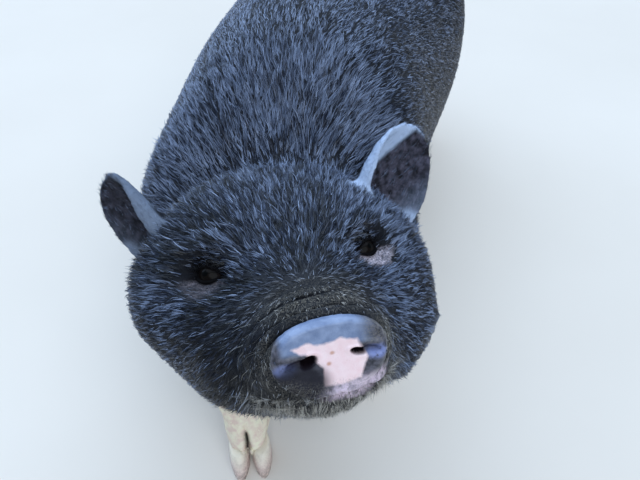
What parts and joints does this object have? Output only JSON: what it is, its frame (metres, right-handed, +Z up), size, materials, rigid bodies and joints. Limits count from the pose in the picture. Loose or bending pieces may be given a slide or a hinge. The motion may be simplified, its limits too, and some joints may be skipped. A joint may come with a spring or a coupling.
{
  "type": "pig",
  "caption": "Life-size still model of a black pot-bellied pig standing with its head turned and raised, with pricked ears, a blunt snout and pale forefeet.",
  "frame": {"origin": "on the floor, under the middle of the animal's bounding box", "axes": "+Z up, -Y towards the head, +X to the pig's left"},
  "size_m": [0.3556, 0.9188, 0.3835],
  "materials": {
    "coat": "black hide under a short stiff coat with a blue-grey sheen, pink on the snout and cream on the forefeet",
    "eye": "wet dark brown",
    "hoof": "dull pale horn"
  },
  "bodies": {
    "root": {"trunk": "coat", "neck": "coat", "head": "coat", "snout": "coat", "tail": "coat", "ear_left": "coat", "ear_right": "coat", "leg_fore_left": "coat", "leg_fore_right": "coat", "leg_hind_left": "coat", "leg_hind_right": "coat", "eye_left": "eye", "eye_right": "eye", "hoof_fore_left_inner": "hoof", "hoof_fore_left_outer": "hoof", "hoof_fore_right_inner": "hoof", "hoof_fore_right_outer": "hoof", "hoof_hind_left_inner": "hoof", "hoof_hind_left_outer": "hoof", "hoof_hind_right_inner": "hoof", "hoof_hind_right_outer": "hoof"}
  },
  "joints": []
}
